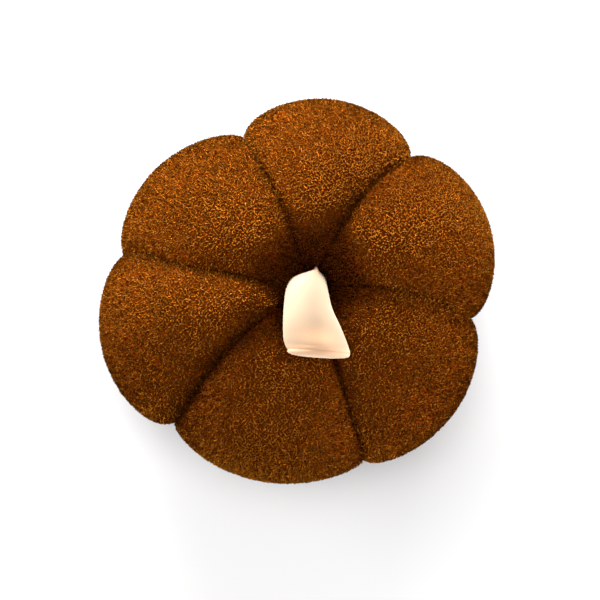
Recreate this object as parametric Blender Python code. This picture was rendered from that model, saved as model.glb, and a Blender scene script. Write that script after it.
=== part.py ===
"""Pumpkin cushion: one filled body of six stuffed lobes, with a stuffed stem sewn into its dimple.

Units are metres and degrees, with +Z up. The cushion lies on its back with the stem on top.
The origin is on the surface that it lies on, under the middle of its outline. Seen from above
with +X to the right, +Y is the side that the stem leans away from.
"""

import math
from collections import namedtuple

import bmesh
import bpy
from mathutils import Vector

# Body: heights are measured from the widest level, where the outline is largest
WIDEST_LEVEL = 0.082
CROWN_DOME = 0.115
SEAM_DOME = 0.085
CROWN_DOME_UNDER = 0.095
SEAM_DOME_UNDER = 0.074
DIMPLE_FLOOR = 0.053
DIMPLE_FLOOR_UNDER = 0.050
CROWN_DIMPLE_REACH = 0.052
SEAM_DIMPLE_REACH = 0.045
SEAT_REACH = 0.0160
SEAT_LEVEL = 0.138

# Roundness of the section down through a lobe: 2 is an ellipse, and more is squarer
ROUNDNESS_ABOVE = 2.3
ROUNDNESS_UNDER = 2.8

# Roundness of a lobe from seam to seam: flat over its crown, and steep into the seam
LOBE_FLATNESS = 1.76
LOBE_STEEPNESS = 0.50

COLUMNS_PER_LOBE = 14
ROWS = 36

# Stem: sections along its bent middle line, measured from the middle of the dimple
STEM_SIDES = 24
STEM_RINGS = 26
STEM_GAP = 0.0003
END_PANEL_GAP = 0.0003

Seam = namedtuple("Seam", "rim_azimuth centre_azimuth bow reach")
SEAMS = (
    Seam(53.7, 63.3, -2.6, 0.143),
    Seam(111.5, 112.8, 1.5, 0.141),
    Seam(169.5, 178.2, -1.8, 0.154),
    Seam(224.3, 216.0, 1.9, 0.155),
    Seam(289.4, 284.5, -0.4, 0.150),
    Seam(351.4, 354.6, -1.0, 0.139),
)

Lobe = namedtuple("Lobe", "name reach lean fullness")
LOBES = (
    Lobe("top", 0.169, -0.012, 1.00),
    Lobe("upper_left", 0.167, 0.054, 0.99),
    Lobe("lower_left", 0.181, 0.018, 1.02),
    Lobe("bottom", 0.165, -0.035, 1.00),
    Lobe("lower_right", 0.163, -0.023, 0.98),
    Lobe("upper_right", 0.169, 0.031, 1.01),
)

Section = namedtuple("Section", "across along up width depth pitch yaw")
STEM_SECTIONS = (
    Section(0.000, 0.000, 0.000, 0.017, 0.017, 0, 0),
    Section(0.000, 0.000, 0.006, 0.024, 0.023, 0, 0),
    Section(-0.001, -0.001, 0.017, 0.029, 0.028, 8, 0),
    Section(-0.004, -0.004, 0.030, 0.033, 0.031, 25, 0),
    Section(-0.006, -0.012, 0.044, 0.036, 0.032, 50, 0),
    Section(-0.006, -0.026, 0.055, 0.040, 0.033, 75, 0),
    Section(-0.003, -0.042, 0.061, 0.048, 0.035, 88, -2),
    Section(0.001, -0.060, 0.062, 0.055, 0.038, 92, -4),
)

Step = namedtuple("Step", "out size")
END_PANEL_STEPS = (
    Step(0.0000, 1.00),
    Step(0.0012, 1.00),
    Step(0.0026, 0.95),
    Step(0.0038, 0.82),
    Step(0.0046, 0.55),
    Step(0.0048, 0.25),
)

TEDDY_BROWN = (0.19, 0.055, 0.008, 1.0)
VELVET_CREAM = (0.88, 0.70, 0.48, 1.0)
END_CREAM = (0.84, 0.64, 0.42, 1.0)


def clear_scene():
    for old in list(bpy.data.objects):
        bpy.data.objects.remove(old)


def cloth(name, colour, roughness):
    material = bpy.data.materials.new(name)
    material.use_nodes = True
    shader = material.node_tree.nodes["Principled BSDF"]
    shader.inputs["Base Color"].default_value = colour
    shader.inputs["Roughness"].default_value = roughness
    shader.inputs["Metallic"].default_value = 0.0
    return material


def arc_share(part, roundness):
    """The share of the full reach at this sine or cosine, on a squared ellipse."""
    return math.copysign(abs(part) ** (2 / roundness), part)


def section_point(polar, reach, dome, dome_under, dimple_reach):
    """Distance from the axis and height over the widest level, at a polar angle from the top."""
    above = polar <= math.pi / 2
    roundness = ROUNDNESS_ABOVE if above else ROUNDNESS_UNDER
    full = dome if above else dome_under
    floor = DIMPLE_FLOOR if above else DIMPLE_FLOOR_UNDER
    out = reach * arc_share(math.sin(polar), roundness)
    height = full * arc_share(abs(math.cos(polar)), roundness)
    height -= (full - floor) * math.exp(-((out / dimple_reach) ** 2))
    return out, height if above else -height


def seam_point(seam, polar):
    return section_point(polar, seam.reach, SEAM_DOME, SEAM_DOME_UNDER, SEAM_DIMPLE_REACH)


def crown_point(lobe, across, polar):
    """The level that the lobe's filling reaches, a little further out on one side than the other."""
    dome, under = CROWN_DOME * lobe.fullness, CROWN_DOME_UNDER * lobe.fullness
    return section_point(polar, lobe.reach * (1 + lobe.lean * across), dome, under, CROWN_DIMPLE_REACH)


def seam_azimuth(seam, polar):
    """A seam runs straight down the outer side, and swings and bows a little on its way to the dimple."""
    inner = max(0.0, math.cos(polar))
    swing = (seam.centre_azimuth - seam.rim_azimuth) * inner**2
    return math.radians(seam.rim_azimuth + swing + seam.bow * 4 * inner * (1 - inner))


def body_point(lobe_index, across, polar):
    """A point of the body. across is -1 at a lobe's first seam, 0 at its crown and 1 at its next seam."""
    first = SEAMS[lobe_index]
    last = SEAMS[(lobe_index + 1) % len(SEAMS)]
    share = (across + 1) / 2
    start = seam_azimuth(first, polar)
    span = (seam_azimuth(last, polar) - start) % math.tau
    azimuth = start + span * share
    first_out, first_up = seam_point(first, polar)
    last_out, last_up = seam_point(last, polar)
    low_out = first_out + (last_out - first_out) * share
    low_up = first_up + (last_up - first_up) * share
    high_out, high_up = crown_point(LOBES[lobe_index], across, polar)
    puff = (1 - abs(across) ** LOBE_FLATNESS) ** LOBE_STEEPNESS
    out = low_out + (high_out - low_out) * puff
    up = WIDEST_LEVEL + low_up + (high_up - low_up) * puff
    if polar < math.pi / 2:
        up = SEAT_LEVEL if out < SEAT_REACH else max(up, SEAT_LEVEL * (out < SEAM_DIMPLE_REACH))
    return Vector((out * math.cos(azimuth), out * math.sin(azimuth), max(up, 0.0)))


def row_angle(share):
    """The polar angle of a row, spaced so that the rows stay even close to the axis."""
    quarter = math.pi / 2
    if share <= 0.5:
        return quarter * (2 * share) ** (ROUNDNESS_ABOVE / 2)
    return math.pi - quarter * (2 - 2 * share) ** (ROUNDNESS_UNDER / 2)


def make_object(name, bm, material, collection):
    mesh = bpy.data.meshes.new(name)
    bm.to_mesh(mesh)
    bm.free()
    mesh.shade_smooth()
    mesh.materials.append(material)
    made = bpy.data.objects.new(name, mesh)
    collection.objects.link(made)
    return made


def make_body(collection, material):
    """A sphere whose columns are drawn in at six seams, dimpled at both poles and pressed flat below."""
    columns = COLUMNS_PER_LOBE * len(LOBES)
    bm = bmesh.new()
    bmesh.ops.create_uvsphere(bm, u_segments=columns, v_segments=ROWS, radius=1)
    for vertex in bm.verts:
        azimuth = math.atan2(vertex.co.y, vertex.co.x) % math.tau
        row = round(math.acos(max(-1.0, min(1.0, vertex.co.z))) / math.pi * ROWS)
        column = round(azimuth / math.tau * columns) % columns
        lobe_index, step = divmod(column, COLUMNS_PER_LOBE)
        across = -math.cos(math.pi * step / COLUMNS_PER_LOBE)
        vertex.co = body_point(lobe_index, across, row_angle(row / ROWS))
    return make_object("pumpkin_body", bm, material, collection)


def smooth_station(rows, share):
    """The row of sizes at this share of the way along, on a smooth curve through the rows."""
    place = share * (len(rows) - 1)
    index = min(int(place), len(rows) - 2)
    t = place - index
    before, after = rows[max(index - 1, 0)], rows[min(index + 2, len(rows) - 1)]
    here, there = rows[index], rows[index + 1]
    mixed = []
    for a, b, c, d in zip(before, here, there, after):
        bend = (2 * b + (c - a) * t + (2 * a - 5 * b + 4 * c - d) * t**2 + (3 * b - a - 3 * c + d) * t**3) / 2
        mixed.append(bend)
    return type(rows[0])(*mixed)


def stem_ring(share):
    """Centre, sideways, depthways and forward directions, and half sizes of the stem's section."""
    row = smooth_station(STEM_SECTIONS, share)
    pitch, yaw = math.radians(row.pitch), math.radians(row.yaw)
    side = Vector((math.cos(yaw), math.sin(yaw), 0))
    level = Vector((math.sin(yaw), -math.cos(yaw), 0))
    forward = level * math.sin(pitch) + Vector((0, 0, math.cos(pitch)))
    deep = forward.cross(side)
    return Vector(row[:3]), side, deep, forward, row.width / 2, row.depth / 2


def make_cylinder(sides, rings):
    """A cylinder from height 0 to 1 with that many sides and steps along it, closed at both ends."""
    bm = bmesh.new()
    bmesh.ops.create_cone(bm, cap_ends=True, segments=sides, radius1=1, radius2=1, depth=1)
    bmesh.ops.translate(bm, vec=(0, 0, 0.5), verts=bm.verts)
    uprights = [edge for edge in bm.edges if abs(edge.verts[0].co.z - edge.verts[1].co.z) > 0.5]
    bmesh.ops.subdivide_edges(bm, edges=uprights, cuts=rings - 1, use_grid_fill=True)
    return bm


def make_stem(collection, material):
    bm = make_cylinder(STEM_SIDES, STEM_RINGS)
    for vertex in bm.verts:
        centre, side, deep, _, half_width, half_depth = stem_ring(vertex.co.z)
        vertex.co = centre + side * vertex.co.x * half_width + deep * vertex.co.y * half_depth
    return make_object("stem", bm, material, collection)


def make_end_panel(collection, material):
    """The panel that closes the stem's free end, domed by the filling."""
    steps = len(END_PANEL_STEPS) - 1
    centre, side, deep, forward, half_width, half_depth = stem_ring(1.0)
    bm = make_cylinder(STEM_SIDES, steps)
    for vertex in bm.verts:
        row = END_PANEL_STEPS[round(vertex.co.z * steps)]
        middle = centre + forward * (END_PANEL_GAP + row.out)
        vertex.co = middle + (side * vertex.co.x * half_width + deep * vertex.co.y * half_depth) * row.size
    return make_object("stem_end", bm, material, collection)


def outline_centre(body):
    """The middle of the body's outline seen from above."""
    xs = [vertex.co.x for vertex in body.data.vertices]
    ys = [vertex.co.y for vertex in body.data.vertices]
    return Vector(((min(xs) + max(xs)) / 2, (min(ys) + max(ys)) / 2, 0))


def main():
    clear_scene()
    collection = bpy.data.collections.new("pumpkin_cushion")
    bpy.context.scene.collection.children.link(collection)
    teddy = cloth("teddy_brown", TEDDY_BROWN, 0.95)
    velvet = cloth("velvet_cream", VELVET_CREAM, 0.85)
    end_velvet = cloth("velvet_cream_end", END_CREAM, 0.85)
    body = make_body(collection, teddy)
    stem = make_stem(collection, velvet)
    end_panel = make_end_panel(collection, end_velvet)
    body.location = -outline_centre(body)
    stem.parent = body
    stem.location = (0, 0, SEAT_LEVEL + STEM_GAP)
    end_panel.parent = stem


main()
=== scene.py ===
"""Pumpkin cushion: six stuffed lobes of curled teddy fleece, with a stuffed velvet stem.

Everything is in metres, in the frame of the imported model. The cushion lies on its back with its
stem on top, and the stem hooks over towards -Y.
"""

import math
from collections import namedtuple

import bmesh
import bpy
import numpy as np
from bpy.props import FloatProperty, FloatVectorProperty, IntProperty, PointerProperty
from bpy.types import Operator, Panel, PropertyGroup
from mathutils import Matrix, Vector
from mathutils.kdtree import KDTree


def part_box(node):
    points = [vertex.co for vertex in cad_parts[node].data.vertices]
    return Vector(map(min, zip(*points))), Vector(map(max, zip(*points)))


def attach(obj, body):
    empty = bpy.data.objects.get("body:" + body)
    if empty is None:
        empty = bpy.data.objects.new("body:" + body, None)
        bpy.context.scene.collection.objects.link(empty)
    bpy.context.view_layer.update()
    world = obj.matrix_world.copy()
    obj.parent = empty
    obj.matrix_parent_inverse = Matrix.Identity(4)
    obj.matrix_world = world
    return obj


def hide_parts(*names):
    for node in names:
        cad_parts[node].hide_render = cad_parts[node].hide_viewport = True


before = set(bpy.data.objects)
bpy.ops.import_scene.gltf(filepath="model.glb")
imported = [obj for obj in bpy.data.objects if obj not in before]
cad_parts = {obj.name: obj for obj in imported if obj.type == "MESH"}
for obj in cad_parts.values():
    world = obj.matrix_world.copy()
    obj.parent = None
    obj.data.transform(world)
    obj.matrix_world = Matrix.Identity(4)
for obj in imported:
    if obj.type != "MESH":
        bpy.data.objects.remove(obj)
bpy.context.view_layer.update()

bl_info = {
    "name": "Pumpkin Cushion",
    "version": (1, 0, 0),
    "blender": (4, 5, 0),
    "location": "3D View > Sidebar > Cushion",
    "description": "Builds a stuffed pumpkin cushion of teddy fleece with a velvet stem",
    "category": "Object",
}

BODY_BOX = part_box("pumpkin_body")
BODY = "root"

# Body: the sizes of its sections, as the solids have them
WIDEST_LEVEL = 0.082
CROWN_DOME = 0.115
CROWN_DOME_UNDER = 0.095
SEAM_DOME_UNDER = 0.074
DIMPLE_FLOOR = 0.053
DIMPLE_FLOOR_UNDER = 0.050
SEAT_LEVEL = 0.138
ROUNDNESS_ABOVE = 2.3
ROUNDNESS_UNDER = 2.8
LOBE_FLATNESS = 1.76
STEM_GAP = 0.0003
STEM_BACK = 0.0128
STEM_TIP = 0.0045
STEM_PINCH = 0.78
STEM_END_ROUNDING = 0.91

Seam = namedtuple("Seam", "rim_azimuth centre_azimuth bow reach hook")
SEAMS = (
    Seam(53.7, 63.3, -2.6, 0.143, 0),
    Seam(111.5, 112.8, 1.5, 0.141, 0),
    Seam(169.5, 178.2, -1.8, 0.154, 11),
    Seam(224.3, 216.0, 1.9, 0.155, 0),
    Seam(289.4, 284.5, -0.4, 0.150, 0),
    Seam(351.4, 354.6, -1.0, 0.139, 0),
)

Lobe = namedtuple("Lobe", "name reach lean fullness")
LOBES = (
    Lobe("top", 0.169, -0.012, 1.00),
    Lobe("upper_left", 0.167, 0.054, 0.99),
    Lobe("lower_left", 0.181, 0.018, 1.02),
    Lobe("bottom", 0.165, -0.035, 1.00),
    Lobe("lower_right", 0.163, -0.023, 0.98),
    Lobe("upper_right", 0.169, 0.031, 1.01),
)

Section = namedtuple("Section", "across along up width depth pitch yaw")
STEM_SECTIONS = (
    Section(0.000, 0.000, 0.000, 0.017, 0.017, 0, 0),
    Section(0.000, 0.000, 0.006, 0.024, 0.023, 0, 0),
    Section(-0.001, -0.001, 0.017, 0.029, 0.028, 8, 0),
    Section(-0.004, -0.004, 0.030, 0.033, 0.031, 25, 0),
    Section(-0.006, -0.012, 0.044, 0.036, 0.032, 50, 0),
    Section(-0.006, -0.026, 0.055, 0.040, 0.033, 75, 0),
    Section(-0.003, -0.042, 0.061, 0.048, 0.035, 88, -2),
    Section(0.001, -0.060, 0.062, 0.055, 0.038, 92, -4),
)

Filling = namedtuple("Filling", "steepness seam_dome seam_dimple dimples")
SOLID_FILLING = Filling(0.50, 0.085, 0.045, (0.052,) * 6)
COVER_FILLING = Filling(0.47, 0.099, 0.031, (0.033, 0.033, 0.033, 0.048, 0.034, 0.033))

CurlRing = namedtuple("CurlRing", "turn thickness")
CURL_RINGS = (CurlRing(-25, 0.75), CurlRing(90, 1.15), CurlRing(205, 0.75))
PILE_SOFTNESS = 0.30
UNDERSIDE_SLOPE = -0.45

Step = namedtuple("Step", "out size")
END_PANEL_STEPS = (
    Step(-0.0012, 0.970),
    Step(0.0004, 0.990),
    Step(0.0016, 1.000),
    Step(0.0028, 0.960),
    Step(0.0038, 0.850),
    Step(0.0045, 0.620),
    Step(0.0048, 0.320),
)

COVER_COLUMNS = 26
COVER_ROWS = 72
COVER_INSET = 0.0004
STEM_REST = 0.0415
STEM_REST_HALF_WIDTH = 0.029
STEM_REST_START = -0.022
PRESSED_LEVEL = 0.0012
FLOOR_CLEARANCE = 0.0002

CAMERA_TILT = math.radians(7.59)
CAMERA_SWING = math.radians(62.7)
CAMERA_DISTANCE = 1.5
CAMERA_SHIFT = (0.0023, -0.0080)


class CoverSettings(PropertyGroup):
    """Sizes of the sewn cover."""

    swell_limit: FloatProperty(
        name="Swell Limit", description="How far the filling may push the cover", default=0.003, unit="LENGTH"
    )
    pucker_depth: FloatProperty(
        name="Pucker Depth", description="Depth of the gathers beside each seam", default=0.0011, unit="LENGTH"
    )
    pucker_reach: FloatProperty(
        name="Pucker Reach", description="How far the gathers reach from a seam", default=0.011, unit="LENGTH"
    )
    tuck_depth: FloatProperty(
        name="Tuck Depth", description="How deep each seam pulls the cover in", default=0.0075, unit="LENGTH"
    )
    tuck_reach: FloatProperty(
        name="Tuck Reach", description="Half the width of the tuck along a seam", default=0.0016, unit="LENGTH"
    )


class PileSettings(PropertyGroup):
    """Sizes and colours of the curled pile."""

    spacing: FloatProperty(
        name="Curl Spacing", description="Least distance from one curl to the next", default=0.00172, unit="LENGTH"
    )
    under_spacing: FloatProperty(
        name="Spacing Underneath", description="The same distance on the underside", default=0.003, unit="LENGTH"
    )
    curl_radius: FloatProperty(
        name="Curl Radius", description="Radius that the yarn curls to", default=0.00126, unit="LENGTH"
    )
    yarn_radius: FloatProperty(
        name="Yarn Radius", description="Half the thickness of the yarn", default=0.00058, unit="LENGTH"
    )
    seed: IntProperty(name="Seed", description="Seed of the curls' places and turns", default=7)
    crest: FloatVectorProperty(
        name="Crest Colour", description="Colour of the curls' crests", default=(0.55, 0.150, 0.009), subtype="COLOR"
    )
    # Painted shade: the curls darken to this colour towards their roots.
    root: FloatVectorProperty(
        name="Root Colour", description="Colour between the curls", default=(0.18, 0.0095, 0.0), subtype="COLOR"
    )


class StemSettings(PropertyGroup):
    """Colours of the velvet stem."""

    velvet: FloatVectorProperty(
        name="Velvet Colour", description="Colour of the velvet", default=(0.228, 0.160, 0.103), subtype="COLOR"
    )
    # Painted shading: a warmer, lighter peach colour laid on the folds, the pinched tip and the end panel.
    fold_shading: FloatVectorProperty(
        name="Fold Shading Colour", description="Colour of the velvet in its folds", default=(0.52, 0.308, 0.182), subtype="COLOR"
    )


class StageSettings(PropertyGroup):
    """Light and floor."""

    sky: FloatProperty(name="Sky", description="Strength of the light from all round", default=0.54)
    key_power: FloatProperty(name="Key Power", description="Power of the overhead softbox", default=23.0)
    rim_power: FloatProperty(name="Rim Power", description="Power of the softbox behind the top lobe", default=160.0)
    side_power: FloatProperty(name="Side Power", description="Power of each softbox at the sides", default=74.0)
    floor: FloatVectorProperty(
        name="Floor Colour", description="Colour of the floor", default=(0.45, 0.45, 0.45), subtype="COLOR"
    )


def squared(part, roundness):
    """The share of the full reach at this sine or cosine, on a squared ellipse."""
    return abs(part) ** (2 / roundness)


def section_point(polar, reach, dome, dome_under, dimple_reach):
    """Distance from the axis and height over the widest level, at a polar angle from the top."""
    above = polar <= math.pi / 2
    roundness = ROUNDNESS_ABOVE if above else ROUNDNESS_UNDER
    full = dome if above else dome_under
    floor = DIMPLE_FLOOR if above else DIMPLE_FLOOR_UNDER
    out = reach * squared(math.sin(polar), roundness)
    height = full * squared(math.cos(polar), roundness)
    height -= (full - floor) * math.exp(-((out / dimple_reach) ** 2))
    return out, height if above else -height


def seam_azimuth(seam, polar):
    inner = max(0.0, math.cos(polar))
    swing = (seam.centre_azimuth - seam.rim_azimuth) * inner**2
    hook = seam.hook * math.exp(-((max(0.0, math.sin(polar)) / 0.22) ** 2)) * (polar < math.pi / 2)
    return math.radians(seam.rim_azimuth + swing + seam.bow * 4 * inner * (1 - inner) + hook)


def row_angle(share):
    """The polar angle of a row, spaced so that the rows stay even close to the axis."""
    quarter = math.pi / 2
    if share <= 0.5:
        return quarter * (2 * share) ** (ROUNDNESS_ABOVE / 2)
    return math.pi - quarter * (2 - 2 * share) ** (ROUNDNESS_UNDER / 2)


def body_point(lobe_index, across, polar, filling=SOLID_FILLING):
    """A point of the body. across is -1 at a lobe's first seam, 0 at its crown and 1 at its next seam."""
    first, last = SEAMS[lobe_index], SEAMS[(lobe_index + 1) % len(SEAMS)]
    lobe = LOBES[lobe_index]
    share = (across + 1) / 2
    start = seam_azimuth(first, polar)
    azimuth = start + ((seam_azimuth(last, polar) - start) % math.tau) * share
    sizes = filling.seam_dome, SEAM_DOME_UNDER, filling.seam_dimple
    first_out, first_up = section_point(polar, first.reach, *sizes)
    last_out, last_up = section_point(polar, last.reach, *sizes)
    low_out = first_out + (last_out - first_out) * share
    low_up = first_up + (last_up - first_up) * share
    dome, under = CROWN_DOME * lobe.fullness, CROWN_DOME_UNDER * lobe.fullness
    dimple = filling.dimples[lobe_index]
    high_out, high_up = section_point(polar, lobe.reach * (1 + lobe.lean * across), dome, under, dimple)
    puff = (1 - abs(across) ** LOBE_FLATNESS) ** filling.steepness
    out = low_out + (high_out - low_out) * puff
    up = WIDEST_LEVEL + low_up + (high_up - low_up) * puff
    return Vector((out * math.cos(azimuth), out * math.sin(azimuth), up))


def smooth_station(rows, share):
    """The row of sizes at this share of the way along, on a smooth curve through the rows."""
    place = share * (len(rows) - 1)
    index = min(int(place), len(rows) - 2)
    t = place - index
    before, after = rows[max(index - 1, 0)], rows[min(index + 2, len(rows) - 1)]
    mixed = []
    for a, b, c, d in zip(before, rows[index], rows[index + 1], after):
        mixed.append((2 * b + (c - a) * t + (2 * a - 5 * b + 4 * c - d) * t**2 + (3 * b - a - 3 * c + d) * t**3) / 2)
    return type(rows[0])(*mixed)


def stem_ring(share):
    """Centre, sideways, depthways and forward directions, and half sizes of the stem's section."""
    row = smooth_station(STEM_SECTIONS, share)
    pitch, yaw = math.radians(row.pitch), math.radians(row.yaw)
    side = Vector((math.cos(yaw), math.sin(yaw), 0))
    forward = Vector((math.sin(yaw), -math.cos(yaw), 0)) * math.sin(pitch) + Vector((0, 0, math.cos(pitch)))
    return Vector(row[:3]), side, forward.cross(side), forward, row.width / 2, row.depth / 2


def dimple_axis():
    """Where the axis through the dimples stands, from the solid's own box."""
    low, high = BODY_BOX
    grid = [
        body_point(lobe, -math.cos(math.pi * column / 14), row_angle(row / 36))
        for lobe in range(len(LOBES))
        for column in range(14)
        for row in range(37)
    ]
    middle_x = (min(p.x for p in grid) + max(p.x for p in grid)) / 2
    middle_y = (min(p.y for p in grid) + max(p.y for p in grid)) / 2
    return Vector(((low[0] + high[0]) / 2 - middle_x, (low[1] + high[1]) / 2 - middle_y, 0))


def wander(place, seed):
    """A smooth irregular wave along a seam, between about -1 and 1."""
    waves = ((1.0, 0.0, 0.50), (1.63, 1.7, 0.32), (2.41, 4.1, 0.18))
    return sum(size * math.sin(place * rate + phase + 2.3 * seed) for rate, phase, size in waves)


def link_mesh(name, mesh, material):
    mesh.materials.clear()
    mesh.materials.append(material)
    made = bpy.data.objects.new(name, mesh)
    bpy.context.scene.collection.objects.link(made)
    mesh.shade_smooth()
    return made


def settle(piece, limit, pinned):
    """Lets the filling press the cover out in a short cloth run, by no more than limit, and keeps the result."""
    start = np.empty(len(piece.data.vertices) * 3)
    piece.data.vertices.foreach_get("co", start)
    start = start.reshape(-1, 3)
    group = piece.vertex_groups.new(name="sewn")
    for index in np.flatnonzero(pinned > 0):
        group.add([int(index)], float(pinned[index]), "REPLACE")
    cloth = piece.modifiers.new("Filling", "CLOTH")
    cloth.settings.use_pressure = True
    cloth.settings.uniform_pressure_force = 4.0
    cloth.settings.effector_weights.gravity = 0.0
    cloth.settings.vertex_group_mass = group.name
    cloth.settings.quality = 4
    cloth.point_cache.frame_start = 1
    cloth.point_cache.frame_end = 20
    scene = bpy.context.scene
    for number in range(1, 21):
        scene.frame_set(number)
    settled = piece.evaluated_get(bpy.context.evaluated_depsgraph_get()).to_mesh()
    end = np.empty(len(settled.vertices) * 3)
    settled.vertices.foreach_get("co", end)
    piece.modifiers.remove(cloth)
    scene.frame_set(1)
    moved = end.reshape(-1, 3) - start
    length = np.linalg.norm(moved, axis=1, keepdims=True)
    moved *= np.minimum(1.0, limit / np.maximum(length, 1e-9))
    piece.data.vertices.foreach_set("co", (start + moved).ravel())
    piece.data.update()


def new_group(name, inputs, outputs):
    """A shader node group with named sockets, and its input and output nodes."""
    group = bpy.data.node_groups.new(name, "ShaderNodeTree")
    for label, kind, value in inputs:
        socket = group.interface.new_socket(label, in_out="INPUT", socket_type=kind)
        socket.default_value = value
    for label, kind in outputs:
        group.interface.new_socket(label, in_out="OUTPUT", socket_type=kind)
    return group, group.nodes.new("NodeGroupInput"), group.nodes.new("NodeGroupOutput")


def noise_node(nodes, links, vector, scale, detail):
    node = nodes.new("ShaderNodeTexNoise")
    node.inputs["Scale"].default_value = scale
    node.inputs["Detail"].default_value = detail
    links.new(vector, node.inputs["Vector"])
    return node


def spread_value(nodes, links, value, low, high):
    node = nodes.new("ShaderNodeMapRange")
    node.inputs["From Min"].default_value = 0.3
    node.inputs["From Max"].default_value = 0.7
    node.inputs["To Min"].default_value = low
    node.inputs["To Max"].default_value = high
    links.new(value, node.inputs["Value"])
    return node.outputs["Result"]


def mix_colours(nodes, links, share, first, second, blend="MIX"):
    node = nodes.new("ShaderNodeMix")
    node.data_type = "RGBA"
    node.blend_type = blend
    for value, socket in ((share, node.inputs[0]), (first, node.inputs[6]), (second, node.inputs[7])):
        if isinstance(value, (int, float, tuple)):
            socket.default_value = value
        else:
            links.new(value, socket)
    return node.outputs[2]


def maths(nodes, links, operation, first, second):
    node = nodes.new("ShaderNodeMath")
    node.operation = operation
    for value, socket in ((first, node.inputs[0]), (second, node.inputs[1])):
        if isinstance(value, (int, float)):
            socket.default_value = value
        else:
            links.new(value, socket)
    return node.outputs[0]


def yarn_group():
    """Yarn colour with painted shade: darker towards its root, lighter at its crest, with the dye uneven from place
    to place.
    """
    if "Yarn Tone And Root Shade" in bpy.data.node_groups:
        return bpy.data.node_groups["Yarn Tone And Root Shade"]
    group, inner, outer = new_group(
        "Yarn Tone And Root Shade",
        (
            ("Root Shade", "NodeSocketColor", (0.06, 0.015, 0.002, 1)),
            ("Crest", "NodeSocketColor", (0.3, 0.1, 0.01, 1)),
            ("Rise", "NodeSocketFloat", 0.5),
            ("Tone", "NodeSocketFloat", 0.5),
            ("Patch Scale", "NodeSocketFloat", 30.0),
        ),
        (("Colour", "NodeSocketColor"), ("Height", "NodeSocketFloat")),
    )
    nodes, links = group.nodes, group.links
    place = nodes.new("ShaderNodeTexCoord").outputs["Object"]
    patches = noise_node(nodes, links, place, 30.0, 3.0)
    links.new(inner.outputs["Patch Scale"], patches.inputs["Scale"])
    fibres = noise_node(nodes, links, place, 2600.0, 2.0)
    uneven = maths(nodes, links, "MULTIPLY", spread_value(nodes, links, patches.outputs["Fac"], 0.86, 1.12), 1.0)
    toned = maths(nodes, links, "MULTIPLY_ADD", inner.outputs["Tone"], 0.56)
    toned.node.inputs[2].default_value = 0.70
    strength = maths(nodes, links, "MULTIPLY", uneven, toned)
    # Painted shade: Rise takes the colour from the dark root up to the crest.
    colour = mix_colours(nodes, links, inner.outputs["Rise"], inner.outputs["Root Shade"], inner.outputs["Crest"])
    scaled = nodes.new("ShaderNodeVectorMath")
    scaled.operation = "SCALE"
    links.new(colour, scaled.inputs[0])
    links.new(strength, scaled.inputs["Scale"])
    links.new(scaled.outputs[0], outer.inputs["Colour"])
    links.new(fibres.outputs["Fac"], outer.inputs["Height"])
    return group


def nap_group():
    """Short nap: a soft drift of tone where the nap is brushed, painted shading in a warmer tone in folds, and a fine
    grain.
    """
    if "Short Nap" in bpy.data.node_groups:
        return bpy.data.node_groups["Short Nap"]
    group, inner, outer = new_group(
        "Short Nap",
        (
            ("Colour", "NodeSocketColor", (0.83, 0.67, 0.46, 1)),
            ("Fold Shading Colour", "NodeSocketColor", (0.8, 0.5, 0.3, 1)),
            ("Fold Shading", "NodeSocketFloat", 0.0),
            ("Grain Scale", "NodeSocketFloat", 900.0),
        ),
        (("Colour", "NodeSocketColor"), ("Height", "NodeSocketFloat")),
    )
    nodes, links = group.nodes, group.links
    place = nodes.new("ShaderNodeTexCoord").outputs["Object"]
    drift = noise_node(nodes, links, place, 38.0, 3.0)
    grain = noise_node(nodes, links, place, 900.0, 3.0)
    links.new(inner.outputs["Grain Scale"], grain.inputs["Scale"])
    folded = mix_colours(nodes, links, inner.outputs["Fold Shading"], inner.outputs["Colour"], inner.outputs["Fold Shading Colour"])
    strength = maths(
        nodes,
        links,
        "MULTIPLY",
        spread_value(nodes, links, drift.outputs["Fac"], 0.965, 1.03),
        spread_value(nodes, links, grain.outputs["Fac"], 0.975, 1.02),
    )
    scaled = nodes.new("ShaderNodeVectorMath")
    scaled.operation = "SCALE"
    links.new(folded, scaled.inputs[0])
    links.new(strength, scaled.inputs["Scale"])
    links.new(scaled.outputs[0], outer.inputs["Colour"])
    links.new(grain.outputs["Fac"], outer.inputs["Height"])
    return group


def start_material(name):
    material = bpy.data.materials.new(name)
    material.use_nodes = True
    return material, material.node_tree.nodes, material.node_tree.links, material.node_tree.nodes["Principled BSDF"]


def place_group(nodes, group, values):
    node = nodes.new("ShaderNodeGroup")
    node.node_tree = group
    for name, value in values.items():
        node.inputs[name].default_value = value
    return node


def add_bump(nodes, links, shader, height, strength, distance):
    bump = nodes.new("ShaderNodeBump")
    bump.inputs["Strength"].default_value = strength
    bump.inputs["Distance"].default_value = distance
    links.new(height, bump.inputs["Height"])
    links.new(bump.outputs["Normal"], shader.inputs["Normal"])


def pile_material(settings):
    """The curls: each has its own tone, with painted shade darkening it towards its roots, a lighter crest, and a
    soft sheen.
    """
    if "teddy_curls" in bpy.data.materials:
        return bpy.data.materials["teddy_curls"]
    material, nodes, links, shader = start_material("teddy_curls")
    yarn = place_group(nodes, yarn_group(), {"Root Shade": (*settings.root, 1), "Crest": (*settings.crest, 1)})
    for name in ("Rise", "Tone"):
        attribute = nodes.new("ShaderNodeAttribute")
        attribute.attribute_name = name.lower()
        links.new(attribute.outputs["Fac"], yarn.inputs[name])
    links.new(yarn.outputs["Colour"], shader.inputs["Base Color"])
    add_bump(nodes, links, shader, yarn.outputs["Height"], 0.35, 0.0002)
    shader.inputs["Roughness"].default_value = 0.92
    shader.inputs["Specular IOR Level"].default_value = 0.0
    shader.inputs["Sheen Weight"].default_value = 0.20
    shader.inputs["Sheen Roughness"].default_value = 0.5
    shader.inputs["Sheen Tint"].default_value = (1.0, 0.36, 0.03, 1)
    return material


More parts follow.
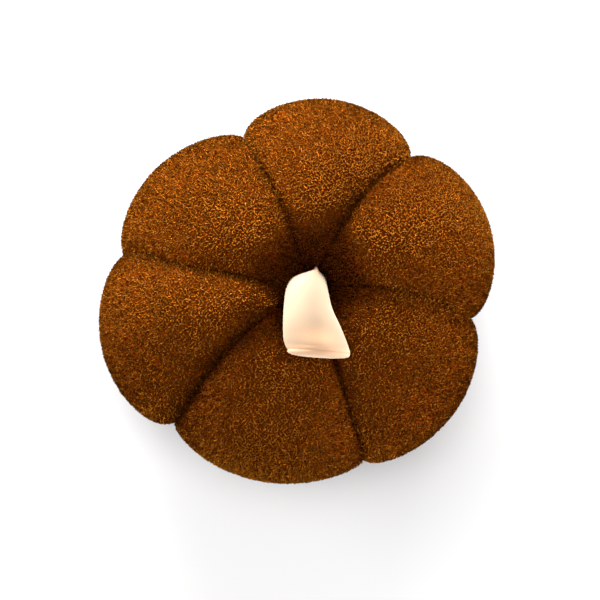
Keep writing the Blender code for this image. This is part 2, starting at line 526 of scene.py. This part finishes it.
def backing_material(settings):
    """The knitted ground that the curls grow from, seen between them, with painted shade: darker than the curls'
    roots and darkest near each seam.
    """
    material, nodes, links, shader = start_material("teddy_ground")
    # Painted shade: the ground's dark colour is 0.35 of the curls' root colour.
    painted_ground_shade = tuple(0.35 * value for value in settings.root)
    light = tuple(0.16 * value for value in settings.crest)
    yarn = place_group(nodes, yarn_group(), {"Root Shade": (*painted_ground_shade, 1), "Crest": (*light, 1), "Tone": 0.5})
    place = nodes.new("ShaderNodeTexCoord").outputs["Object"]
    knit = nodes.new("ShaderNodeTexVoronoi")
    knit.inputs["Scale"].default_value = 420.0
    links.new(place, knit.inputs["Vector"])
    # Painted shade: within a few millimetres of each seam the ground goes to its dark colour.
    gap = nodes.new("ShaderNodeAttribute")
    gap.attribute_name = "seam_gap"
    clear = nodes.new("ShaderNodeMapRange")
    clear.inputs["From Min"].default_value = 0.0012
    clear.inputs["From Max"].default_value = 0.0050
    links.new(gap.outputs["Fac"], clear.inputs["Value"])
    links.new(maths(nodes, links, "MULTIPLY", knit.outputs["Distance"], clear.outputs["Result"]), yarn.inputs["Rise"])
    links.new(yarn.outputs["Colour"], shader.inputs["Base Color"])
    add_bump(nodes, links, shader, knit.outputs["Distance"], 0.8, 0.0008)
    shader.inputs["Roughness"].default_value = 0.95
    shader.inputs["Specular IOR Level"].default_value = 0.0
    return material


def velvet_material(name, settings, grain):
    """Velvet: pale, with a fine nap, a sheen at grazing angles and painted shading in a warmer tone in its folds."""
    material, nodes, links, shader = start_material(name)
    values = {"Colour": (*settings.velvet, 1), "Fold Shading Colour": (*settings.fold_shading, 1), "Grain Scale": grain}
    nap = place_group(nodes, nap_group(), values)
    fold_shading = nodes.new("ShaderNodeAttribute")
    fold_shading.attribute_name = "fold_shading"
    links.new(fold_shading.outputs["Fac"], nap.inputs["Fold Shading"])
    links.new(nap.outputs["Colour"], shader.inputs["Base Color"])
    add_bump(nodes, links, shader, nap.outputs["Height"], 0.25, 0.0004)
    shader.inputs["Roughness"].default_value = 0.85
    shader.inputs["Specular IOR Level"].default_value = 0.25
    shader.inputs["Sheen Weight"].default_value = 0.15
    shader.inputs["Sheen Roughness"].default_value = 0.4
    shader.inputs["Sheen Tint"].default_value = (1.0, 0.93, 0.82, 1)
    return material


def floor_material(colour):
    material, nodes, links, shader = start_material("studio_floor")
    place = nodes.new("ShaderNodeTexCoord").outputs["Object"]
    drift = noise_node(nodes, links, place, 1.5, 2.0)
    share = spread_value(nodes, links, drift.outputs["Fac"], 0.0, 1.0)
    paler = tuple(min(1.0, value * 1.01) for value in colour)
    links.new(mix_colours(nodes, links, share, (*colour, 1), (*paler, 1)), shader.inputs["Base Color"])
    shader.inputs["Roughness"].default_value = 0.9
    shader.inputs["Specular IOR Level"].default_value = 0.1
    return material


def row_and_column(point, rows, columns):
    """Which row, counted down from the top, and which column a point of a ball belongs to."""
    row = round(math.acos(max(-1.0, min(1.0, point.z))) / math.pi * rows)
    azimuth = math.atan2(point.y, point.x) % math.tau
    return row, round(azimuth / math.tau * columns) % columns


def ordered_ball(rows, columns):
    """A ball of rows and columns, with its points and faces in an order that is the same each run."""
    rough = bmesh.new()
    bmesh.ops.create_uvsphere(rough, u_segments=columns, v_segments=rows, radius=1)
    order = sorted(rough.verts, key=lambda vertex: row_and_column(vertex.co, rows, columns))
    number = {vertex: index for index, vertex in enumerate(order)}
    faces = []
    for face in rough.faces:
        corners = [number[vertex] for vertex in face.verts]
        first = corners.index(min(corners))
        faces.append(corners[first:] + corners[:first])
    ball = bmesh.new()
    points = [ball.verts.new(vertex.co) for vertex in order]
    for corners in sorted(faces):
        ball.faces.new([points[corner] for corner in corners])
    rough.free()
    return ball


def sewn_cover(settings):
    """The cover as a grid of columns and rows, with its distance from the nearest seam at each point."""
    columns = COVER_COLUMNS * len(LOBES)
    bm = ordered_ball(COVER_ROWS, columns)
    axis = dimple_axis()
    seam_gap = bm.verts.layers.float.new("seam_gap")
    for vertex in bm.verts:
        row, column = row_and_column(vertex.co, COVER_ROWS, columns)
        lobe, step = divmod(column, COVER_COLUMNS)
        across = -math.cos(math.pi * step / COVER_COLUMNS)
        polar = row_angle(row / COVER_ROWS)
        side = -1.0 if across < 0 else 1.0
        seam = lobe if across < 0 else (lobe + 1) % len(SEAMS)
        point = body_point(lobe, across, polar, COVER_FILLING)
        foot = body_point(lobe, side, polar, COVER_FILLING)
        gap = (point - foot).length
        near = math.exp(-((gap / settings.pucker_reach) ** 2))
        along = row * math.tau * 0.071
        crimp = wander(along * 2.6, seam) * near * (1 - math.exp(-((gap / 0.003) ** 2)))
        inward = (Vector((0, 0, WIDEST_LEVEL)) - point).normalized()
        tuck = math.exp(-((gap / settings.tuck_reach) ** 2)) * math.sin(polar) ** 0.5
        point += inward * (settings.pucker_depth * (crimp + 0.25 * near) + settings.tuck_depth * tuck)
        if polar > math.pi / 2:
            inward.z = 0
        point += inward * COVER_INSET
        if row in (0, COVER_ROWS):
            gap = 0.0
        vertex[seam_gap] = gap
        vertex.co = point + axis
    mesh = bpy.data.meshes.new("teddy_cover")
    bm.to_mesh(mesh)
    bm.free()
    return mesh


class CUSHION_OT_cover(Operator):
    """Make the sewn and filled cover of the body"""

    bl_idname = "cushion.cover"
    bl_label = "Make Cover"

    def execute(self, context):
        scene = context.scene
        mesh = sewn_cover(scene.cushion_cover)
        cover = link_mesh("teddy_cover", mesh, backing_material(scene.cushion_pile))
        gaps = np.empty(len(mesh.vertices), np.float32)
        mesh.attributes["seam_gap"].data.foreach_get("value", gaps)
        pinned = np.clip(1.0 - gaps / 0.004, 0.0, 1.0)
        settle(cover, scene.cushion_cover.swell_limit, pinned)
        finer = cover.modifiers.new("Finer", "SUBSURF")
        finer.levels = finer.render_levels = 1
        smooth = bpy.data.meshes.new_from_object(cover.evaluated_get(context.evaluated_depsgraph_get()))
        cover.modifiers.remove(finer)
        cover.data = smooth
        places = np.empty(len(smooth.vertices) * 3)
        smooth.vertices.foreach_get("co", places)
        places = places.reshape(-1, 3)
        places[:, 2] = np.maximum(places[:, 2], PRESSED_LEVEL)
        axis = dimple_axis()
        off_axis = np.hypot(places[:, 0] - axis.x, places[:, 1] - axis.y)
        seat = (off_axis < 0.016) & (places[:, 2] > WIDEST_LEVEL)
        places[seat, 2] = SEAT_LEVEL - STEM_GAP
        beside = np.maximum(np.abs(places[:, 0] - axis.x) - STEM_REST_HALF_WIDTH, 0)
        before = np.maximum(places[:, 1] - axis.y - STEM_REST_START, 0)
        beyond = np.maximum(STEM_SECTIONS[-1].along - 0.006 - (places[:, 1] - axis.y), 0)
        rest = SEAT_LEVEL + STEM_REST + 0.9 * np.hypot(beside, np.maximum(before, beyond))
        places[:, 2] = np.minimum(places[:, 2], rest)
        smooth.vertices.foreach_set("co", places.ravel())
        smooth.update()
        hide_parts("pumpkin_body")
        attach(cover, BODY)
        return {"FINISHED"}


def scatter(mesh, settings, rng):
    """Even but irregular places over a mesh: positions, normals, distances from the nearest seam and spacings."""
    mesh.calc_loop_triangles()
    count = len(mesh.loop_triangles)
    corners = np.empty(count * 3, np.int32)
    mesh.loop_triangles.foreach_get("vertices", corners)
    corners = corners.reshape(-1, 3)
    places = np.empty(len(mesh.vertices) * 3)
    mesh.vertices.foreach_get("co", places)
    normals = np.empty(len(mesh.vertices) * 3)
    mesh.vertices.foreach_get("normal", normals)
    gaps = np.empty(len(mesh.vertices), np.float32)
    mesh.attributes["seam_gap"].data.foreach_get("value", gaps)
    places, normals = places.reshape(-1, 3), normals.reshape(-1, 3)
    a, b, c = (places[corners[:, k]] for k in range(3))
    across = np.cross(b - a, c - a)
    areas = np.linalg.norm(across, axis=1) / 2
    under = across[:, 2] / np.maximum(2 * areas, 1e-12) < UNDERSIDE_SLOPE
    reach = np.where(under, settings.under_spacing, settings.spacing)
    share = areas / reach**2
    tries = int(3.6 * share.sum())
    faces = rng.choice(count, tries, p=share / share.sum())
    u, v = rng.random(tries), rng.random(tries)
    flip = u + v > 1
    u[flip], v[flip] = 1 - u[flip], 1 - v[flip]
    weights = np.stack([1 - u - v, u, v], 1)
    spots = (places[corners[faces]] * weights[:, :, None]).sum(1)
    facing = (normals[corners[faces]] * weights[:, :, None]).sum(1)
    facing /= np.linalg.norm(facing, axis=1, keepdims=True)
    room = (gaps[corners[faces]] * weights).sum(1)
    reach = reach[faces]
    tree = KDTree(tries)
    for index, spot in enumerate(spots):
        tree.insert(spot, index)
    tree.balance()
    free = np.ones(tries, bool)
    kept = []
    for index in range(tries):
        if free[index]:
            kept.append(index)
            for _, other, _ in tree.find_range(spots[index], reach[index]):
                free[other] = False
    kept = np.array(kept)
    return spots[kept], facing[kept], room[kept], reach[kept]


def curl_mesh(name, spots, facing, room, reach, settings, rng):
    """One mesh of curls: each a short arc of yarn that rises from the ground, leans over and goes back in."""
    count = len(spots)
    rings, sides = len(CURL_RINGS), 3
    along = np.cross(facing, rng.normal(size=(count, 3)))
    along /= np.linalg.norm(along, axis=1, keepdims=True)
    beside = np.cross(facing, along)
    lean = np.radians(rng.uniform(5, 65, count)) * rng.choice([-1, 1], count)
    rise_way = facing * np.cos(lean)[:, None] + beside * np.sin(lean)[:, None]
    flat_way = np.cross(along, rise_way)
    grown = np.clip(0.4 + room / 0.005, 0.80, 1.0) * (reach / settings.spacing) ** 0.7
    size = settings.curl_radius * rng.uniform(0.75, 1.35, count) * grown
    yarn = settings.yarn_radius * rng.uniform(0.85, 1.2, count) * grown
    turns = np.radians([ring.turn for ring in CURL_RINGS])
    sweep = turns[None, :] + rng.uniform(-0.35, 0.35, (count, 1))
    out = along[:, None, :] * np.cos(sweep)[..., None] + rise_way[:, None, :] * np.sin(sweep)[..., None]
    twist = beside[:, None, :] * (0.4 * np.sin(2 * sweep + rng.uniform(0, math.tau, (count, 1))))[..., None]
    middle = spots[:, None, :] + (out + twist) * size[:, None, None]
    middle += facing[:, None, :] * 0.0002
    round_way = np.arange(sides) / sides * math.tau
    thick = yarn[:, None] * np.array([ring.thickness for ring in CURL_RINGS])[None, :]
    spokes = (
        out[:, :, None, :] * np.cos(round_way)[None, None, :, None]
        + flat_way[:, None, None, :] * np.sin(round_way)[None, None, :, None]
    )
    points = middle[:, :, None, :] + spokes * thick[:, :, None, None]
    above = ((points - spots[:, None, None, :]) * facing[:, None, None, :]).sum(-1)
    # Painted shade: rise is low near each curl's root, where its colour goes dark.
    rise = np.clip((above / settings.curl_radius - 0.20) / 0.80, 0, 1)
    tone = np.repeat(rng.random(count), rings * sides)
    soft = spokes * (1 - PILE_SOFTNESS) + facing[:, None, None, :] * PILE_SOFTNESS
    soft = soft.reshape(-1, 3)
    soft /= np.maximum(np.linalg.norm(soft, axis=1, keepdims=True), 1e-6)
    points = points.reshape(-1, 3)
    points[:, 2] = np.maximum(points[:, 2], FLOOR_CLEARANCE)
    first = np.arange(count)[:, None, None] * rings * sides
    ring = np.arange(rings - 1)[None, :, None] * sides
    side = np.arange(sides)[None, None, :]
    after = (side + 1) % sides
    quads = np.stack(
        [first + ring + side, first + ring + after, first + ring + sides + after, first + ring + sides + side], -1
    ).reshape(-1, 4)
    mesh = bpy.data.meshes.new(name)
    mesh.vertices.add(len(points))
    mesh.vertices.foreach_set("co", points.ravel())
    mesh.loops.add(quads.size)
    mesh.loops.foreach_set("vertex_index", quads.ravel())
    mesh.polygons.add(len(quads))
    mesh.polygons.foreach_set("loop_start", np.arange(len(quads)) * 4)
    mesh.update(calc_edges=True)
    for label, values in (("rise", rise.reshape(-1)), ("tone", tone)):
        mesh.attributes.new(label, "FLOAT", "POINT").data.foreach_set("value", values.astype(np.float32))
    lay_out(mesh, count, rings, sides)
    mesh.shade_smooth()
    mesh.normals_split_custom_set_from_vertices(soft)
    return mesh


def lay_out(mesh, count, rings, sides):
    """A place of its own on a flat sheet for each curl, row by row."""
    per_row = math.ceil(math.sqrt(count))
    cell = np.stack(np.divmod(np.arange(count), per_row)[::-1], 1)[:, None, None, None, :]
    side = np.arange(sides)[None, :, None] + np.array([0, 1, 1, 0])[None, None, :]
    ring = np.arange(rings - 1)[:, None, None] + np.array([0, 0, 1, 1])[None, None, :]
    side, ring = np.broadcast_arrays(side / sides, ring / (rings - 1))
    corner = np.stack([side, ring], -1)[None] * 0.8 + 0.1
    sheet = mesh.uv_layers.new(name="OFBake")
    sheet.data.foreach_set("uv", ((cell + corner) / per_row).astype(np.float32).ravel())


class CUSHION_OT_pile(Operator):
    """Grow the curled pile on the cover, one piece for each lobe"""

    bl_idname = "cushion.pile"
    bl_label = "Grow Pile"

    def execute(self, context):
        settings = context.scene.cushion_pile
        cover = bpy.data.objects.get("teddy_cover")
        if cover is None:
            raise RuntimeError("make the cover before its pile")
        rng = np.random.default_rng(settings.seed)
        spots, facing, room, reach = scatter(cover.data, settings, rng)
        keep = room > 0.0017
        spots, facing, room, reach = spots[keep], facing[keep], room[keep], reach[keep]
        axis = dimple_axis()
        azimuth = np.degrees(np.arctan2(spots[:, 1] - axis.y, spots[:, 0] - axis.x)) % 360
        material = pile_material(settings)
        starts = [seam.rim_azimuth for seam in SEAMS]
        lobe_of = (np.searchsorted(starts, azimuth, side="right") - 1) % len(LOBES)
        for index, lobe in enumerate(LOBES):
            mine = lobe_of == index
            curls = spots[mine], facing[mine], room[mine], reach[mine]
            mesh = curl_mesh(f"curls_{lobe.name}", *curls, settings, rng)
            piece = link_mesh(f"curls_{lobe.name}", mesh, material)
            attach(piece, BODY)
        return {"FINISHED"}


def velvet_tube(sides, rings):
    """A cylinder from height 0 to 1 with that many sides and steps along it, closed at both ends."""
    bm = bmesh.new()
    bmesh.ops.create_cone(bm, cap_ends=True, segments=sides, radius1=1, radius2=1, depth=1)
    bmesh.ops.translate(bm, vec=(0, 0, 0.5), verts=bm.verts)
    uprights = [edge for edge in bm.edges if abs(edge.verts[0].co.z - edge.verts[1].co.z) > 0.5]
    bmesh.ops.subdivide_edges(bm, edges=uprights, cuts=rings - 1, use_grid_fill=True)
    return bm


def stem_point(share, x, y, root):
    """A point of the stuffed stem: x and y lie on a circle, x across it and y up through its depth."""
    centre, side, deep, _, half_width, half_depth = stem_ring(share)
    end = max(0.0, (share - STEM_END_ROUNDING) / (1 - STEM_END_ROUNDING)) ** 2
    slack = min(1.0, max(0.0, (share - 0.35) / 0.30))
    across = x * (1 - 0.05 * slack - 0.10 * end) if x < 0 else x * (1 - 0.05 * (1 - slack) - 0.03 * end)
    point = centre + side * across * half_width + deep * y * half_depth * (1 - 0.06 * end)
    behind = STEM_BACK - point.y - 0.117 * (point.z - 0.020)
    pinch = 0.80 * math.exp(-((behind / 0.0050) ** 2)) + 0.10 * math.exp(-((behind / 0.012) ** 2))
    pinch = min(pinch, STEM_PINCH)
    point.x += pinch * (STEM_TIP - point.x)
    return root + point, pinch


class CUSHION_OT_stem(Operator):
    """Make the stuffed stem, gathered at its root and creased where it bends"""

    bl_idname = "cushion.stem"
    bl_label = "Make Stem"

    def execute(self, context):
        settings = context.scene.cushion_stem
        root = dimple_axis() + Vector((0, 0, SEAT_LEVEL + STEM_GAP))
        bm = velvet_tube(64, 80)
        fold_shading_layer = bm.verts.layers.float.new("fold_shading")
        for vertex in bm.verts:
            share, x, y = vertex.co.z, vertex.co.x, vertex.co.y
            turn = math.atan2(y, x)
            top = max(0.0, y) ** 1.5
            gather = math.exp(-((share / 0.16) ** 2)) * 0.05 * math.sin(9 * turn)
            dent = math.exp(-(((share - 0.925) / 0.040) ** 2)) * top
            line = math.exp(-(((share - 0.975) / 0.007) ** 2)) * top * math.exp(-(((x + 0.25) / 0.35) ** 2))
            size = 1 + gather - 0.014 * dent - 0.008 * line
            vertex.co, pinch = stem_point(share, x * size, y * size, root)
            # Painted shading: the warmer fold colour on the dent, the crease line, the end rim and the pinched tip.
            patch = math.exp(-(((share - 0.925) / 0.050) ** 2)) * top * math.exp(-(((x - 0.1) / 0.60) ** 2))
            rim = max(0.0, (share - 0.955) / 0.045)
            vertex[fold_shading_layer] = min(1.0, patch + 0.5 * line + 0.65 * rim + 1.2 * pinch)
        mesh = bpy.data.meshes.new("velvet_stem")
        bm.to_mesh(mesh)
        bm.free()
        stem = link_mesh("velvet_stem", mesh, velvet_material("velvet_stem", settings, 900.0))
        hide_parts("stem")
        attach(stem, BODY)
        return {"FINISHED"}


class CUSHION_OT_stem_end(Operator):
    """Make the domed panel that closes the stem's free end"""

    bl_idname = "cushion.stem_end"
    bl_label = "Make Stem End"

    def execute(self, context):
        settings = context.scene.cushion_stem
        root = dimple_axis() + Vector((0, 0, SEAT_LEVEL + STEM_GAP))
        forward = stem_ring(1.0)[3]
        steps = len(END_PANEL_STEPS) - 1
        bm = velvet_tube(64, steps)
        fold_shading_layer = bm.verts.layers.float.new("fold_shading")
        for vertex in bm.verts:
            row = END_PANEL_STEPS[round(vertex.co.z * steps)]
            place, _ = stem_point(1.0, vertex.co.x * row.size, vertex.co.y * row.size, root)
            # Painted shading: the end panel takes much of the warmer fold colour.
            vertex[fold_shading_layer] = 0.65
            vertex.co = place + forward * (STEM_GAP + row.out)
        mesh = bpy.data.meshes.new("velvet_end")
        bm.to_mesh(mesh)
        bm.free()
        panel = link_mesh("velvet_end", mesh, velvet_material("velvet_end", settings, 1100.0))
        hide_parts("stem_end")
        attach(panel, BODY)
        return {"FINISHED"}


def add_softbox(name, place, aim, width, length, power):
    light = bpy.data.lights.new(name, "AREA")
    light.shape = "RECTANGLE"
    light.size, light.size_y = width, length
    light.energy = power
    softbox = bpy.data.objects.new(name, light)
    softbox.location = place
    softbox.rotation_euler = (Vector(aim) - Vector(place)).to_track_quat("-Z", "Y").to_euler()
    softbox.visible_camera = False
    bpy.context.scene.collection.objects.link(softbox)


class CUSHION_OT_stage(Operator):
    """Set the floor, the studio light and the camera"""

    bl_idname = "cushion.stage"
    bl_label = "Set Stage"

    def execute(self, context):
        scene = context.scene
        settings = scene.cushion_stage
        bm = bmesh.new()
        bmesh.ops.create_grid(bm, x_segments=8, y_segments=8, size=30.0)
        mesh = bpy.data.meshes.new("floor")
        bm.to_mesh(mesh)
        bm.free()
        link_mesh("floor", mesh, floor_material(settings.floor))
        add_softbox("key_softbox", (-0.1, -0.10, 1.85), (0, 0, 0.1), 1.0, 1.0, settings.key_power)
        add_softbox("rim_softbox", (-0.1, 1.5, 0.28), (0, 0, 0.12), 1.5, 0.44, settings.rim_power)
        add_softbox("left_softbox", (-1.48, 0.25, 0.28), (0, 0, 0.10), 1.2, 0.36, settings.side_power)
        add_softbox("right_softbox", (1.4, -0.60, 0.24), (0, 0, 0.10), 1.2, 0.36, settings.side_power)
        world = bpy.data.worlds.new("studio")
        world.use_nodes = True
        world.node_tree.nodes["Background"].inputs["Color"].default_value = (1.0, 1.0, 1.0, 1)
        world.node_tree.nodes["Background"].inputs["Strength"].default_value = settings.sky
        scene.world = world
        scene.view_settings.view_transform = "Standard"
        self.add_camera(scene)
        return {"FINISHED"}

    def add_camera(self, scene):
        """Looks down on the cushion, a little off straight, as the picture does."""
        sideways = math.sin(CAMERA_TILT)
        back = Vector(
            (-sideways * math.cos(CAMERA_SWING), -sideways * math.sin(CAMERA_SWING), math.cos(CAMERA_TILT))
        )
        right = Vector((0, 1, 0)).cross(back).normalized()
        up = back.cross(right)
        aim = Vector((0, 0, WIDEST_LEVEL)) + right * CAMERA_SHIFT[0] + up * CAMERA_SHIFT[1]
        camera = bpy.data.objects.new("camera", bpy.data.cameras.new("camera"))
        camera.data.lens = 104.03
        camera.data.sensor_width = 36.0
        camera.matrix_world = Matrix.Translation(aim + back * CAMERA_DISTANCE) @ Matrix((right, up, back)).transposed().to_4x4()
        scene.collection.objects.link(camera)
        scene.camera = camera


class CUSHION_PT_panel(Panel):
    """The cushion's settings and the buttons that make its pieces"""

    bl_idname = "CUSHION_PT_panel"
    bl_label = "Pumpkin Cushion"
    bl_space_type = "VIEW_3D"
    bl_region_type = "UI"
    bl_category = "Cushion"

    def draw(self, context):
        scene = context.scene
        for settings in (scene.cushion_cover, scene.cushion_pile, scene.cushion_stem, scene.cushion_stage):
            column = self.layout.column(align=True)
            for name in settings.bl_rna.properties.keys():
                if name not in ("rna_type", "name"):
                    column.prop(settings, name)
        for operator in OPERATORS:
            self.layout.operator(operator.bl_idname)


SETTINGS = {
    "cushion_cover": CoverSettings,
    "cushion_pile": PileSettings,
    "cushion_stem": StemSettings,
    "cushion_stage": StageSettings,
}
OPERATORS = (CUSHION_OT_cover, CUSHION_OT_pile, CUSHION_OT_stem, CUSHION_OT_stem_end, CUSHION_OT_stage)


def register():
    for kind in (*SETTINGS.values(), *OPERATORS, CUSHION_PT_panel):
        bpy.utils.register_class(kind)
    for name, kind in SETTINGS.items():
        setattr(bpy.types.Scene, name, PointerProperty(type=kind))


def unregister():
    for name in SETTINGS:
        delattr(bpy.types.Scene, name)
    for kind in (CUSHION_PT_panel, *reversed(OPERATORS), *reversed(SETTINGS.values())):
        bpy.utils.unregister_class(kind)


def main():
    register()
    bpy.ops.cushion.cover()
    bpy.ops.cushion.pile()
    bpy.ops.cushion.stem()
    bpy.ops.cushion.stem_end()
    bpy.ops.cushion.stage()


if __name__ == "__main__":
    main()
